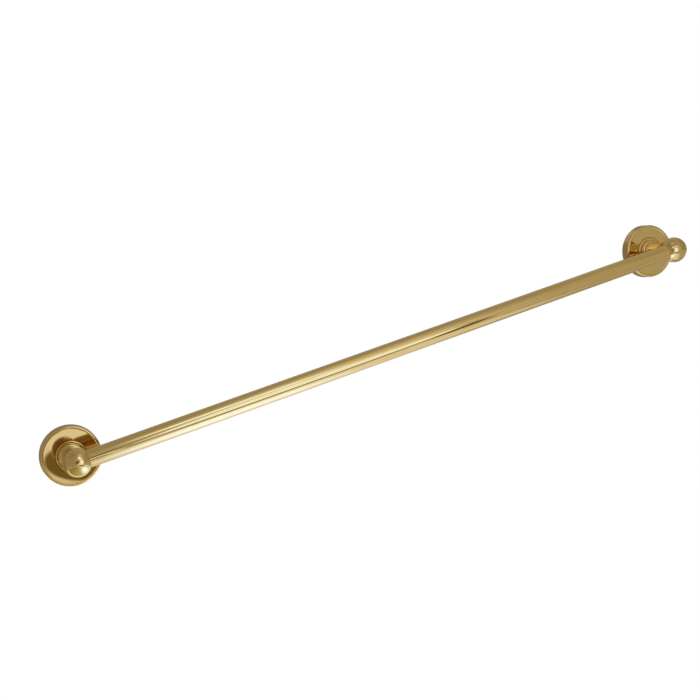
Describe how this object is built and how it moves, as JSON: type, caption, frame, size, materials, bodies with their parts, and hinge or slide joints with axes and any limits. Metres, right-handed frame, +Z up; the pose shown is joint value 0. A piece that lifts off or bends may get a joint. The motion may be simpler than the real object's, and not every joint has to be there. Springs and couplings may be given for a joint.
{
  "type": "towel bar",
  "caption": "Wall-mounted polished brass towel bar: round tube held between turned ball posts on beaded round rosettes with concealed wall brackets.",
  "frame": {"origin": "on the wall plane, midway between the two post axes", "axes": "+X along the bar, +Y into the wall, +Z up; the posts stand out along -Y"},
  "size_m": [0.8286, 0.0789, 0.0666],
  "materials": {
    "polished_brass": "mirror polished and lacquered",
    "plain_brass": "as turned",
    "zinc_steel": "bright zinc plated",
    "spring_steel": "plain spring steel",
    "stainless_steel": "bright stainless"
  },
  "bodies": {
    "root": {"bar_tube": "polished_brass", "left_rosette": "polished_brass", "left_post": "polished_brass", "left_post_screw": "zinc_steel", "left_flat_washer": "zinc_steel", "left_spring_washer": "spring_steel", "left_wall_bracket": "plain_brass", "left_rosette_grub_screw": "stainless_steel", "left_bar_grub_screw": "stainless_steel", "left_bar_end_plug": "plain_brass", "right_rosette": "polished_brass", "right_post": "polished_brass", "right_post_screw": "zinc_steel", "right_flat_washer": "zinc_steel", "right_spring_washer": "spring_steel", "right_wall_bracket": "plain_brass", "right_rosette_grub_screw": "stainless_steel", "right_bar_grub_screw": "stainless_steel", "right_bar_end_plug": "plain_brass"}
  },
  "joints": []
}
